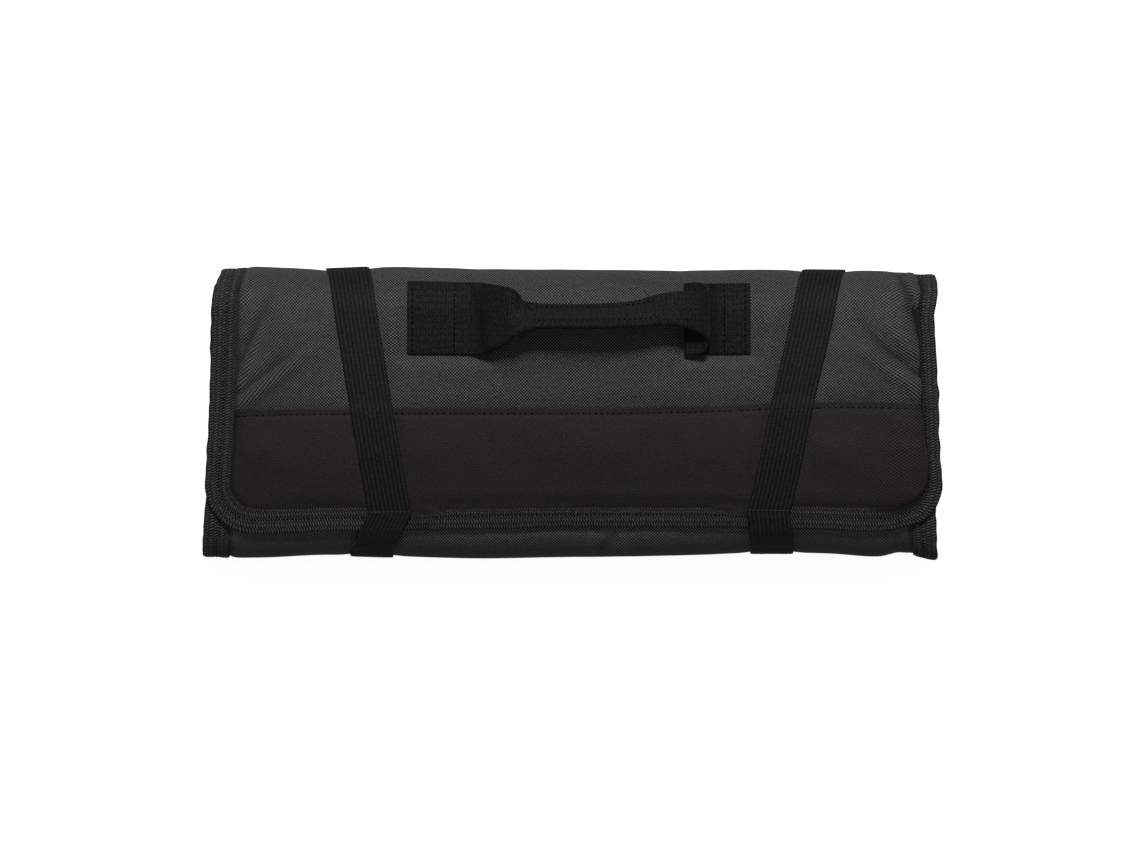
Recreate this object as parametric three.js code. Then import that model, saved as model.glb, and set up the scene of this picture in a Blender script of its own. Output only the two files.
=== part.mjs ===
// A rolled-up tool bag: a long padded sheet of woven polyester, bound all round with tape and rolled in
// flat turns, held by two elastic straps, with a folded webbing handle sewn across its front.
// It lies on its back. Millimetres; X runs along the roll, Y across it towards the handle, Z up.
import * as THREE from "three";

// Driving sizes
const rollLength = 395; // over the bound edges
const rollDepth = 152.6; // over the rolled sheet, without its straps
const rollHeight = 48; // over the rolled sheet at its middle
const sheetWall = 3;
const turnGap = 3.8; // air between one turn and the next
const fitGap = 0.3; // between pieces that lie on each other
const hemWall = 1.4; // the sheet pressed flat inside its binding
const bindingWidth = 12.5;
const bindingWall = 1;
const bindingSlack = 0.8; // from the fold of the binding to the sheet's edge
const bindingRise = 0.3; // the binding stays this far above the floor
const cornerRadius = 27;
const flapOverhang = 12; // long edge of the roll to the flap's end, seen from above
const flapSlope = 45; // length of flap that runs down to the turn below
const bandRun = 65.5; // from the flap's end to the seam of the black band
const bandWall = 1;
const strapWidth = 22.5;
const strapWall = 1.2;
const strapRamp = 3.5; // where the sheet rises over a strap that it lies on
const strapRoom = 0.5; // flat of the sheet beyond each edge of a strap that it lies on
const webbingWidth = 38;
const webbingWall = 1.6;
const handleSpan = 182.5; // over both sewn ends
const handleOffset = 3.75; // centre of the handle from the roll's middle, along X
const handleInset = 45.8; // the roll's long edge to the handle's lower edge
const gripWidth = 15;
const gripWall = 4.6;
const gripLift = 23;
const gripShift = 2.5; // the grip lies this much nearer to the roll's back than its sewn ends
const bendLift = 0.3; // share of the lift over which the webbing stops following the bag
const crownDrop = 0.1; // share of height lost at the long edges
const endPinch = 0.12; // share of height lost at the ends
const pinchStart = 0.56; // share of the half length where that begins

const halfLength = rollLength / 2;
const halfDepth = rollDepth / 2;
const handleLow = halfDepth - handleInset;
const halfWall = sheetWall / 2;
const halfHem = hemWall / 2;
const pitch = sheetWall + turnGap;
const bindingFace = halfHem + fitGap + bindingWall; // from the sheet's middle
const bandFace = halfHem + fitGap + bandWall;
const strapSeat = halfWall + fitGap;
const strapSeatOnBand = bandFace + fitGap;
const edgePress = Math.max(0, bindingFace - halfWall) + bindingRise;
const strapPress = strapWall + fitGap;

// Half length of each stretch of the sheet, as shares: the roll is skewed, so its turns don't line up
const edgeTable = [
  { at: "flapEnd", left: 0.99, right: 1.0 },
  { at: "backTop", left: 0.95, right: 0.984 },
  { at: "backUnder", left: 0.962, right: 0.985 },
  { at: "frontUnder", left: 1.0, right: 0.99 },
  { at: "frontTop", left: 0.997, right: 0.99 },
  { at: "innerBackTop", left: 0.982, right: 0.975 },
  { at: "innerFrontUnder", left: 0.985, right: 0.972 },
  { at: "coreEnd", left: 0.97, right: 0.965 },
];
// Where each strap crosses, as shares of the half length
const strapTable = {
  left: { seam: -0.486, backTop: -0.603, backUnder: -0.603, frontUnder: -0.543 },
  right: { seam: 0.532, backTop: 0.684, backUnder: 0.684, frontUnder: 0.541 },
};
// Long edges of the roll, as shares of the half depth that they stand out or fall short
const waveTable = [
  { x: -1, back: 0.01, front: 0.012 },
  { x: -0.84, back: 0.018, front: 0.016 },
  { x: -0.67, back: -0.002, front: -0.008 },
  { x: -0.5, back: 0.012, front: 0.0 },
  { x: -0.26, back: 0.006, front: 0.018 },
  { x: 0.0, back: -0.004, front: 0.01 },
  { x: 0.3, back: -0.01, front: 0.004 },
  { x: 0.5, back: -0.006, front: -0.016 },
  { x: 0.69, back: -0.014, front: -0.018 },
  { x: 0.86, back: -0.016, front: 0.006 },
  { x: 1.0, back: -0.03, front: -0.02 },
];
// Run of the handle from its left end to its right end: x as a share of the half span, lift above the bag
// as a share of the grip's lift, width between grip (0) and webbing (1), wall between webbing (0) and
// grip (1)
const handleTable = [
  { x: -1, lift: 0, wide: 1, thick: 0 },
  { x: -0.86, lift: 0, wide: 1, thick: 0 },
  { x: -0.7, lift: 0, wide: 1, thick: 0 },
  { x: -0.62, lift: 0.09, wide: 1, thick: 0 },
  { x: -0.54, lift: 0.3, wide: 0.92, thick: 0.1 },
  { x: -0.46, lift: 0.52, wide: 0.7, thick: 0.3 },
  { x: -0.38, lift: 0.68, wide: 0.3, thick: 0.65 },
  { x: -0.3, lift: 0.79, wide: 0.05, thick: 0.9 },
  { x: -0.16, lift: 0.92, wide: 0, thick: 1 },
  { x: 0.0, lift: 1, wide: 0, thick: 1 },
  { x: 0.18, lift: 0.99, wide: 0, thick: 1 },
  { x: 0.36, lift: 0.89, wide: 0, thick: 1 },
  { x: 0.5, lift: 0.77, wide: 0.06, thick: 0.85 },
  { x: 0.6, lift: 0.68, wide: 0.2, thick: 0.5 },
  { x: 0.68, lift: 0.6, wide: 0.42, thick: 0.2 },
  { x: 0.75, lift: 0.53, wide: 0.68, thick: 0 },
  { x: 0.78, lift: 0.43, wide: 0.8, thick: 0 },
  { x: 0.76, lift: 0.32, wide: 0.9, thick: 0 },
  { x: 0.71, lift: 0.25, wide: 1, thick: 0 },
  { x: 0.65, lift: 0.21, wide: 1, thick: 0 },
  { x: 0.622, lift: 0.16, wide: 1, thick: 0 },
  { x: 0.615, lift: 0.1, wide: 1, thick: 0 },
  { x: 0.622, lift: 0.04, wide: 1, thick: 0 },
  { x: 0.65, lift: 0, wide: 1, thick: 0 },
  { x: 0.76, lift: 0, wide: 1, thick: 0 },
  { x: 0.88, lift: 0, wide: 1, thick: 0 },
  { x: 1, lift: 0, wide: 1, thick: 0 },
];

const colours = { charcoal: 0x3a3a3a, band: 0x262024, tape: 0x2b282b, elastic: 0x1f1d1f, webbing: 0x1f1c1f };

const lerp = THREE.MathUtils.lerp;
const smooth = THREE.MathUtils.smoothstep;

// Value in a table whose rows rise with the given key
function lookUp(rows, key, at, column) {
  const after = rows.findIndex((row) => row[key] >= at);
  if (after <= 0) return rows[after < 0 ? rows.length - 1 : 0][column];
  const [a, b] = [rows[after - 1], rows[after]];
  return lerp(a[column], b[column], (at - a[key]) / (b[key] - a[key]));
}

// Section of the roll, from the flap's end inwards. The sheet faces up where its turn is 0, and down half
// a turn on.
const topZ = rollHeight - halfWall;
const floorZ = halfWall;
const backBend = { z: (topZ + floorZ) / 2, radius: (topZ - floorZ) / 2 };
backBend.y = halfDepth - halfWall - backBend.radius;
const frontBend = { z: (topZ - pitch + floorZ) / 2, radius: (topZ - pitch - floorZ) / 2 };
frontBend.y = -(halfDepth - halfWall - frontBend.radius);
const flapEndY = flapOverhang - halfDepth;
const flapRise = pitch - halfWall - fitGap - bindingFace;
// The flap runs on down past the bend, as the turn below falls away there
const flapEndZ = topZ - flapRise * (1 + Math.max(0, frontBend.y - flapEndY) / flapSlope);

const section = [];
const landmark = {};

let turn = 0;

function addPoint(y, z) {
  const last = section.at(-1);
  const run = last ? last.s + Math.hypot(y - last.y, z - last.z) : 0;
  if (last && run - last.s < 1e-6) return;
  section.push({ y, z, ny: Math.sin(turn), nz: Math.cos(turn), s: run });
}

function addRun(toY, toZ, steps) {
  const from = section.at(-1);
  for (let i = 1; i <= steps; i++) addPoint(lerp(from.y, toY, i / steps), lerp(from.z, toZ, i / steps));
}

function addBend(bend, radius, steps) {
  const start = turn;
  for (let i = 0; i <= steps; i++) {
    turn = start + (Math.PI * i) / steps;
    addPoint(bend.y + radius * Math.sin(turn), bend.z + radius * Math.cos(turn));
  }
}

const outerSteps = 8;
const innerSteps = 6;
const flatSteps = 6;
addPoint(flapEndY, flapEndZ);
addRun(flapEndY + flapSlope, topZ, 1);
addRun(backBend.y, topZ, 1);
landmark.flapEnd = 0;
landmark.backTop = section.at(-1).s;
addBend(backBend, backBend.radius, outerSteps);
landmark.backUnder = section.at(-1).s;
addRun(frontBend.y, floorZ, flatSteps);
landmark.frontUnder = section.at(-1).s;
addBend(frontBend, frontBend.radius, outerSteps);
landmark.frontTop = section.at(-1).s;
addRun(backBend.y, topZ - pitch, flatSteps);
landmark.innerBackTop = section.at(-1).s;
addBend(backBend, backBend.radius - pitch, innerSteps);
landmark.innerBackUnder = section.at(-1).s;
addRun(frontBend.y, floorZ + pitch, flatSteps);
landmark.innerFrontUnder = section.at(-1).s;
addBend(frontBend, frontBend.radius - pitch, innerSteps);
landmark.innerFrontTop = section.at(-1).s;
addRun(backBend.y, topZ - 2 * pitch, 1);
landmark.coreEnd = section.at(-1).s;
const sheetRun = landmark.coreEnd;
const seamRun = frontBend.y - flapEndY;

function sectionAt(s) {
  const after = THREE.MathUtils.clamp(
    section.findIndex((point) => point.s >= s),
    1,
    section.length - 1,
  );
  const [a, b] = [section[after - 1], section[s > sheetRun ? section.length - 1 : after]];
  const share = (s - a.s) / (b.s - a.s);
  const at = {};
  for (const key of ["y", "z", "ny", "nz"]) at[key] = lerp(a[key], b[key], share);
  return at;
}

// Outline of the bound sheet, in x and run s, and the distance of a point inside it from that outline
const edgeRows = edgeTable.map((row) => ({ ...row, s: landmark[row.at] }));
const leftEdge = (s) => -halfLength * lookUp(edgeRows, "s", s, "left");
const rightEdge = (s) => halfLength * lookUp(edgeRows, "s", s, "right");

function insetAt(x, s) {
  const across = Math.min(x - leftEdge(s), rightEdge(s) - x);
  const along = Math.min(s, sheetRun - s);
  if (across >= cornerRadius || along >= cornerRadius) return Math.min(across, along);
  return cornerRadius - Math.hypot(cornerRadius - across, cornerRadius - along);
}

// How far the rounded corner draws the outline in, at a run s, for an outline kept a margin inside
function cornerInset(s, margin) {
  const radius = cornerRadius - margin;
  const along = Math.min(s, sheetRun - s) - margin;
  if (along >= radius) return 0;
  return radius - Math.sqrt(Math.max(0, radius * radius - (radius - along) ** 2));
}

// Middle of a strap, in x, at a run s of the outer turn
function strapX(side, s) {
  const shares = strapTable[side];
  const rows = [
    { s: seamRun, x: shares.seam },
    { s: landmark.backTop, x: shares.backTop },
    { s: landmark.backUnder, x: shares.backUnder },
    { s: landmark.frontUnder, x: shares.frontUnder },
  ];
  return halfLength * lookUp(rows, "s", s, "x");
}

// The roll lies on its straps and its binding, so the sheet is pressed in over them
const hemInset = bindingWidth + 2;
const fullInset = cornerRadius;
const strapHalf = strapWidth / 2 + strapRoom;

function floorShare(s) {
  const bendStep = (Math.PI * frontBend.radius) / outerSteps;
  const before = landmark.backUnder - s;
  const after = s - landmark.frontUnder;
  return 1 - smooth(Math.max(before, after), 0, 2 * bendStep);
}

function pressAt(x, s) {
  const edge = 1 - THREE.MathUtils.clamp((insetAt(x, s) - hemInset) / (fullInset - hemInset), 0, 1);
  const off = Math.min(...["left", "right"].map((side) => Math.abs(x - strapX(side, s))));
  const strap = 1 - THREE.MathUtils.clamp((off - strapHalf) / strapRamp, 0, 1);
  return floorShare(s) * Math.max(edge * edgePress, strap * strapPress);
}

// The plump shape of the roll: crowned across, pinched at its ends, with wavy long edges
function shaped(x, y, z) {
  const along = THREE.MathUtils.clamp(x / halfLength, -1, 1);
  const wave = lookUp(waveTable, "x", along, y > 0 ? "back" : "front");
  const crown = 1 - crownDrop * Math.min(1, (y / halfDepth) ** 2);
  const pinch = 1 - endPinch * smooth(Math.abs(along), pinchStart, 1);
  return new THREE.Vector3(x, y * (1 + wave * Math.min(1, Math.abs(y) / halfDepth)), z * crown * pinch);
}

// A point of the model from its place along the roll, its run along the sheet, and its height over the
// sheet's middle
function place(x, s, n, pressed = true) {
  const at = sectionAt(s);
  const height = n - (pressed ? pressAt(x, s) : 0);
  return shaped(x, at.y + at.ny * height, at.z + at.nz * height);
}

function finished(geometry) {
  geometry.deleteAttribute("uv");
  geometry.deleteAttribute("normal");
  geometry.computeVertexNormals();
  return geometry;
}

// A block with a point for each column, row and layer, each put in place by a function of its numbers
function bentBlock(columns, rows, layers, put) {
  const geometry = new THREE.BoxGeometry(columns, rows, layers, columns, rows, layers);
  const points = geometry.attributes.position;
  for (let i = 0; i < points.count; i++) {
    const at = put(
      Math.round(points.getX(i) + columns / 2),
      Math.round(points.getY(i) + rows / 2),
      Math.round(points.getZ(i) + layers / 2),
    );
    points.setXYZ(i, at.x, at.y, at.z);
  }
  return finished(geometry);
}

// A closed ring with a section of a few corners at each of its stations
function bentRing(corners, stations, put) {
  const geometry = new THREE.TorusGeometry(2, 1, corners, stations);
  const points = geometry.attributes.position;
  for (let corner = 0; corner <= corners; corner++)
    for (let station = 0; station <= stations; station++) {
      const at = put(corner % corners, station % stations);
      points.setXYZ(corner * (stations + 1) + station, at.x, at.y, at.z);
    }
  return finished(geometry);
}

function piece(name, geometry, colour) {
  const material = new THREE.MeshStandardMaterial({ color: colour, roughness: 0.85, metalness: 0 });
  const mesh = new THREE.Mesh(geometry, material);
  mesh.name = name;
  return mesh;
}

// Columns across the sheet: they follow the straps on the outer turn, and the handle's sewn ends
const handleEnd = handleSpan / 2;
const handleMiddle = [-1, -0.5, 0, 0.6, 1].map((share) => handleOffset + share * handleEnd);

function columnsAt(s, margin) {
  const left = leftEdge(s) + margin;
  const right = rightEdge(s) - margin;
  const strapOffs = [-strapHalf - strapRamp, -strapHalf, strapHalf, strapHalf + strapRamp];
  const leftStrap = strapOffs.map((off) => strapX("left", s) + off);
  const rightStrap = strapOffs.map((off) => strapX("right", s) + off);
  const drawn = cornerInset(s, margin);
  const spread = (room) => {
    const inner = fullInset - margin;
    const insets = [0, hemInset - margin, inner, lerp(inner, room, 1 / 3), lerp(inner, room, 2 / 3)];
    return insets.map((inset) => drawn + inset * (1 - drawn / room));
  };
  const fromLeft = spread(leftStrap[0] - left).map((inset) => left + inset);
  const fromRight = spread(right - rightStrap[3]).map((inset) => right - inset);
  return [...fromLeft, ...leftStrap, ...handleMiddle, ...rightStrap, ...fromRight.reverse()];
}

// Rows along the sheet
const seamStep = 0.5;
const sheetMargin = bindingWall + bindingSlack;
const riseInsets = [0, 0.5, 1].map((share) => lerp(hemInset, fullInset, share));
const endInsets = [...[0, 0.16, 0.55].map((share) => lerp(sheetMargin, hemInset, share)), ...riseInsets];
const outerStart = [...endInsets, flapSlope];
const afterSeam = [bandRun + fitGap, bandRun + fitGap + seamStep];
const bendRows = section.filter((point) => point.s >= landmark.backTop).map((point) => point.s);
const flapFlat = [0.4, 0.7].map((share) => lerp(bandRun, landmark.backTop, share));
const coreEndRows = endInsets.map((inset) => sheetRun - inset).reverse();
const sheetRows = [
  ...outerStart.filter((s) => s < afterSeam[0] - seamStep),
  ...afterSeam,
  ...flapFlat,
  ...bendRows.slice(0, -1),
  lerp(landmark.innerFrontTop, coreEndRows[0], 0.5),
  ...coreEndRows,
].sort((a, b) => a - b);

function rollSheet() {
  const columns = sheetRows.map((s) => columnsAt(s, sheetMargin));
  return bentBlock(columns[0].length - 1, sheetRows.length - 1, 1, (column, row, layer) => {
    const s = sheetRows[row];
    const x = columns[row][column];
    const full = THREE.MathUtils.clamp((insetAt(x, s) - hemInset) / (fullInset - hemInset), 0, 1);
    const wall = lerp(halfHem, halfWall, full);
    const underBand = s <= afterSeam[0] + 1e-6;
    return place(x, s, layer ? (underBand ? halfHem : wall) : -wall);
  });
}

// Black panel on the flap: it fills the flap from its binding up to the seam
function flapBand() {
  const margin = bindingWidth + fitGap;
  const insets = [margin, lerp(margin, hemInset, 0.3), riseInsets[0], lerp(hemInset, fullInset, 0.2)];
  const rows = [...insets, ...riseInsets.slice(1), flapSlope, bandRun];
  const columns = rows.map((s) => columnsAt(s, margin));
  return bentBlock(columns[0].length - 1, rows.length - 1, 1, (column, row, layer) =>
    place(columns[row][column], rows[row], halfHem + fitGap + layer * bandWall),
  );
}

// Tape folded over the sheet's edge all the way round: down the left edge, round the flap, and back
function edgeBinding() {
  const stations = bindingStations();
  const sectionCorners = [
    { inset: bindingWidth, n: bindingFace - bindingWall },
    { inset: bindingWall, n: bindingFace - bindingWall },
    { inset: bindingWall, n: bindingWall - bindingFace },
    { inset: bindingWidth, n: bindingWall - bindingFace },
    { inset: bindingWidth, n: -bindingFace },
    { inset: bindingWall, n: -bindingFace },
    { inset: 0, n: bindingWall - bindingFace },
    { inset: 0, n: bindingFace - bindingWall },
    { inset: bindingWall, n: bindingFace },
    { inset: bindingWidth, n: bindingFace },
  ];
  return bentRing(sectionCorners.length, stations.length, (corner, station) => {
    const { inset, n } = sectionCorners[corner];
    const { x, s } = stations[station](inset);
    return place(x, s, n);
  });
}

// Each station gives the place in x and s at a given inset from the outline
function bindingStations() {
  const edgeX = (side, s, inset) => (side === "left" ? leftEdge(s) + inset : rightEdge(s) - inset);
  const endRun = (end, inset) => (end === "flap" ? inset : sheetRun - inset);
  const sideStation = (side, s) => (inset) => ({ x: edgeX(side, s, inset), s });
  const endStation = (end, x) => (inset) => ({ x, s: endRun(end, inset) });
  const cornerStation = (side, end, angle) => (inset) => {
    const reach = cornerRadius - inset;
    const s = endRun(end, cornerRadius - reach * Math.sin(angle));
    return { x: edgeX(side, s, cornerRadius - reach * Math.cos(angle)), s };
  };
  const sweep = [0, 1, 2, 3, 4, 5, 6].map((i) => (i * Math.PI) / 12);
  const fromSide = (side, end) => sweep.map((angle) => cornerStation(side, end, angle));
  const [first, last] = ["flap", "core"].map((end) => endRun(end, cornerRadius + 1));
  const sideRows = sheetRows.filter((s) => s > first && s < last);
  return [
    ...sideRows.map((s) => sideStation("left", s)).reverse(),
    ...fromSide("left", "flap"),
    ...columnsAt(0, 0).slice(3, -3).map((x) => endStation("flap", x)),
    ...fromSide("right", "flap").reverse(),
    ...sideRows.map((s) => sideStation("right", s)),
    ...fromSide("right", "core"),
    ...columnsAt(sheetRun, 0).slice(3, -3).reverse().map((x) => endStation("core", x)),
    ...fromSide("left", "core").reverse(),
  ];
}

// Elastic ring sewn to the flap at one line, round the whole roll: it bridges from the flap's end down to
// the turn below
function elasticStrap(side) {
  const outer = sheetRows.filter((s) => s > seamRun + 1 && s < landmark.frontTop);
  const bridgeTop = { s: -fitGap, seat: strapSeatOnBand };
  const top = place(strapX(side, seamRun), bridgeTop.s, bridgeTop.seat);
  const reach = Math.hypot(top.y - frontBend.y, top.z - frontBend.z);
  const leave = frontBend.radius + strapSeat;
  const lean = Math.atan2(frontBend.y - top.y, top.z - frontBend.z);
  const touch = lean + Math.acos(Math.min(1, leave / reach));
  const touchRun = landmark.frontTop - touch * frontBend.radius;
  const bendStep = (Math.PI * frontBend.radius) / outerSteps;
  const stations = [
    { s: seamRun, seat: strapSeatOnBand },
    ...outer
      .filter((s) => s < touchRun - bendStep / 3)
      .map((s) => ({ s, seat: s <= afterSeam[1] + 1e-6 ? strapSeatOnBand : strapSeat })),
    { s: touchRun, seat: strapSeat },
    bridgeTop,
  ];
  const corners = [
    { off: -1, n: 0 },
    { off: 1, n: 0 },
    { off: 1, n: 1 },
    { off: -1, n: 1 },
  ];
  return bentRing(corners.length, stations.length, (corner, station) => {
    const { off, n } = corners[corner];
    const { s, seat } = stations[station];
    const x = strapX(side, s) + (off * strapWidth) / 2;
    return place(x, s, seat + n * strapWall);
  });
}

// One length of webbing: sewn flat at both ends, folded in half to make the grip, and slack enough to lie
// in a fold over its right end
function carryHandle() {
  const start = landmark.backTop - (backBend.y - handleLow);
  const across = [start, ...sheetRows.filter((s) => s > start + 1 && s < start + webbingWidth - 1)];
  const shares = [...across, start + webbingWidth].map((s) => (s - start) / webbingWidth - 0.5);
  const middleRun = start + webbingWidth / 2;
  const sewnLift = halfWall + fitGap + webbingWall / 2;
  const line = handleTable.map((row) => ({
    x: handleOffset + row.x * handleEnd,
    lift: row.lift * gripLift,
    free: Math.min(1, row.lift / bendLift),
    width: lerp(gripWidth, webbingWidth, row.wide),
    wall: lerp(webbingWall, gripWall, row.thick),
  }));
  return bentBlock(line.length - 1, shares.length - 1, 1, (station, column, layer) => {
    const at = line[station];
    const before = line[Math.max(0, station - 1)];
    const after = line[Math.min(line.length - 1, station + 1)];
    const length = Math.hypot(after.x - before.x, after.lift - before.lift);
    const off = (layer - 0.5) * at.wall;
    const x = at.x - (off * (after.lift - before.lift)) / length;
    const up = (off * (after.x - before.x)) / length;
    const sewn = place(x, middleRun + shares[column] * at.width, sewnLift + up, false);
    const free = place(x, middleRun, sewnLift + up, false);
    free.y += shares[column] * at.width + (gripShift * at.lift) / gripLift;
    const point = sewn.lerp(free, at.free);
    point.z += at.lift;
    return point;
  });
}

const bag = new THREE.Group();
bag.name = "tool_roll";
bag.add(
  piece("roll_sheet", rollSheet(), colours.charcoal),
  piece("flap_band", flapBand(), colours.band),
  piece("edge_binding", edgeBinding(), colours.tape),
  piece("elastic_strap_left", elasticStrap("left"), colours.elastic),
  piece("elastic_strap_right", elasticStrap("right"), colours.elastic),
  piece("carry_handle", carryHandle(), colours.webbing),
);

// The origin is under the middle of the whole bag
const bounds = new THREE.Box3().setFromObject(bag, true);
const middle = bounds.getCenter(new THREE.Vector3());
bag.position.set(-middle.x, -middle.y, -bounds.min.z);

export default bag;
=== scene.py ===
import bisect
import math
from functools import lru_cache
import bmesh
import bpy
from mathutils import Matrix, Vector, noise


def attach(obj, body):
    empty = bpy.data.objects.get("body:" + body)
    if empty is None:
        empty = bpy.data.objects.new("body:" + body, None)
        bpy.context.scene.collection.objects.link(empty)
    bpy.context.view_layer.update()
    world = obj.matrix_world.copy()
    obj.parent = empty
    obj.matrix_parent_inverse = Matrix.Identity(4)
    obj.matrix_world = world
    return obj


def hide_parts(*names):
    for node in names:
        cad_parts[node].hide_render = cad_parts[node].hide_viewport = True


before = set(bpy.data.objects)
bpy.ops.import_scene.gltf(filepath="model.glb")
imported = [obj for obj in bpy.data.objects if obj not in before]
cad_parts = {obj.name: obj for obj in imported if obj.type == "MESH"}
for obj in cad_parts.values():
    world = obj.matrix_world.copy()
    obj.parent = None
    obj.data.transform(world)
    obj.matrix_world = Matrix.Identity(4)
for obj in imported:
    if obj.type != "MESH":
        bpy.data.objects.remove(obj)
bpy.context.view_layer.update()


# Rows of values become dictionaries, with a key for each column
def table(keys, *rows):
    return [dict(zip(keys.split(), row)) for row in rows]


# The tool roll lies on its back, seen straight from above. Sizes are millimetres unless a name says
# otherwise.
shot = {
    "photoWidth": 1140,
    "mmPerPixel": 0.535,
    "scalePlane": 22,  # the height at which that scale holds
    "cameraHeight": 2400,
    "lookX": -0.8,
    "lookY": -8.3,
    "sensor": 36,
}
roll = {
    "halfLength": 197.5,
    "halfDepth": 76.3,
    "height": 48,
    "wall": 3.0,
    "turnGap": 3.8,
    "flapOverhang": 12,
    "flapSlope": 45,
    "crownDrop": 0.1,
    "endPinch": 0.12,
    "pinchStart": 0.56,
    "shiftX": 0.365,
    "shiftY": -0.279,
    "lift": 0.22,
}
hem = {
    "wall": 1.4,
    "gap": 0.3,
    "tapeWall": 1.0,
    "tapeWidth": 12.5,
    "cornerRadius": 27,
    "floorRise": 0.3,
    "slack": 0.8,
    "pressFrom": 14.5,
    "shoulderFrom": 12.7,
    "shoulder": 4.5,  # how soon the padding reaches its full thickness
}
elastic = {
    "width": 22.5,
    "wall": 1.2,
    "cloth": 1.0,
    "ramp": 3.5,
    "gap": 0.3,
    "step": 2.0,
    "tuck": 3,  # how far its first end reaches under its last one
    "follow": 0.6,  # share of the padding's swelling that it follows
    "edgeFall": 0.25,
}
band = {"seamRun": 65.5, "wall": 1.0}

# Half length of the sheet along its run, as shares: the roll is skewed, so its turns don't line up
edgeTable = table(
    "from add left right",
    ("flapEnd", 0, 0.99, 0.988), ("flapEnd", 25, 0.987, 0.994), ("flapEnd", 50, 0.979, 0.986),
    ("flapEnd", 70, 0.973, 0.983), ("flapEnd", 95, 0.969, 0.978), ("backTop", 0, 0.966, 0.973),
    ("backTop", 14, 0.961, 0.983), ("backTop", 28, 0.95, 0.983), ("backUnder", 0, 0.958, 0.983),
    ("frontUnder", 0, 0.995, 0.992), ("frontUnder", 30, 1.0, 0.99), ("frontTop", 0, 0.991, 0.978),
    ("frontTop", 14, 0.984, 0.976), ("frontTop", 61, 0.976, 0.968), ("innerBackTop", 0, 0.972, 0.958),
    ("innerBackUnder", 0, 0.955, 0.96), ("innerFrontUnder", 0, 0.975, 0.965),
    ("coreEnd", 0, 0.955, 0.95),
)
strapTable = {
    "left": {"seam": -0.489, "backTop": -0.61, "backUnder": -0.61, "frontUnder": -0.543},
    "right": {"seam": 0.527, "backTop": 0.684, "backUnder": 0.684, "frontUnder": 0.541},
}
# Long edges of the roll, as shares of the half depth that they stand out or fall short
waveTable = table(
    "x back front",
    (-1, 0.006, 0.012), (-0.84, 0.01, 0.012), (-0.67, -0.004, -0.008), (-0.5, 0.01, 0.0),
    (-0.26, -0.004, 0.018), (0.0, -0.014, 0.008), (0.3, -0.016, -0.004), (0.5, -0.01, -0.024),
    (0.69, -0.014, -0.018), (0.83, -0.018, 0.004), (0.89, -0.042, -0.026), (0.94, -0.034, 0.01),
    (1.0, -0.03, 0.045),
)
# The flap's end and the seam of its band aren't straight: how far each stands back towards +Y
riseTable = table(
    "x end seam",
    (-185, 0.4, -1.8), (-160, 0.6, -0.6), (-110, 1.5, 0.0), (-75, 2.9, 0.2), (-35, 3.8, 0.2),
    (20, 3.9, 0.3), (55, 3.5, 0.8), (80, 2.7, 1.6), (100, 1.8, 2.4), (130, 1.2, 3.3), (160, 1.2, 3.4),
    (185, 0.8, 2.4),
)
# A dent in the front of the roll, below the flap
dentTable = table(
    "x run wideX wideS high",
    (21, -11, 3.5, 3.5, -3.2), (17, -17, 3, 4, -3.0), (26, -17, 4.5, 5, 2.6), (12, -13, 4, 4, 1.6),
)
# Soft creases of the front: each runs from (x1, y1) to (x2, y2), with its width and its height
foldTable = table(
    "x1 y1 x2 y2 wide high",
    (-178, 3, -140, 31, 3.4, 2.5),
    (-177, 10, -150, 29, 2.4, -2.3),
    (-178, 9, -163, 46, 2.2, 2.1),
    (-180, 14, -160, 62, 2.6, -2.3),
    (-170, 16, -146, 52, 4.4, 1.5),
    (-182, 30, -170, 70, 2.6, 1.7),
    (-128, -8, -96, 40, 12, 0.7),
    (186, 1, 150, 36, 3.2, 2.0),
    (187, 7, 156, 44, 2.4, -2.3),
    (187, 14, 163, 52, 2.6, 2.0),
    (188, 22, 171, 60, 2.4, -1.8),
    (160, 10, 148, 40, 9, 0.6),
    (120, -14, 176, -44, 8, 1.7),
    (171, 86, 178, 42, 1.7, -5.0),
    (178, 86, 175, 66, 2.0, 1.8),
    (-60, 20, 40, 26, 8, -0.6),
    (-176, -18, -122, -44, 10, 1.4),
    (-78, -46, -20, -38, 6, 0.8),
    (18, 72, 66, 66, 4, -1.0),
    (-20, -8, 60, -30, 14, 0.6),
)


def lerp(a, b, share):
    return a + (b - a) * share


def clamp(share):
    return min(1.0, max(0.0, share))


def ease(value, low, high):
    share = clamp((value - low) / (high - low))
    return share * share * (3 - 2 * share)


# 1 in the middle, falling away smoothly on both sides
def bell(offset, wide):
    return math.exp(-((offset / wide) ** 2))


# Soft unevenness between about -1 and 1
def uneven(a, b, c):
    return noise.noise(Vector((a, b, c)))


# Smooth curve through the rows of a table
def lookUp(rows, key, at, column):
    keys = [row[key] for row in rows]
    if at <= keys[0]:
        return rows[0][column]
    if at >= keys[-1]:
        return rows[-1][column]
    i = bisect.bisect_right(keys, at) - 1
    p0, p1, p2, p3 = rows[max(0, i - 1)], rows[i], rows[i + 1], rows[min(len(rows) - 1, i + 2)]
    span = p2[key] - p1[key]
    t = (at - p1[key]) / span
    m1 = (p2[column] - p0[column]) / (p2[key] - p0[key]) * span
    m2 = (p3[column] - p1[column]) / (p3[key] - p1[key]) * span
    a, b = p1[column], p2[column]
    start = (2 * t**3 - 3 * t**2 + 1) * a + (t**3 - 2 * t**2 + t) * m1
    return start + (3 * t**2 - 2 * t**3) * b + (t**3 - t**2) * m2


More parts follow.
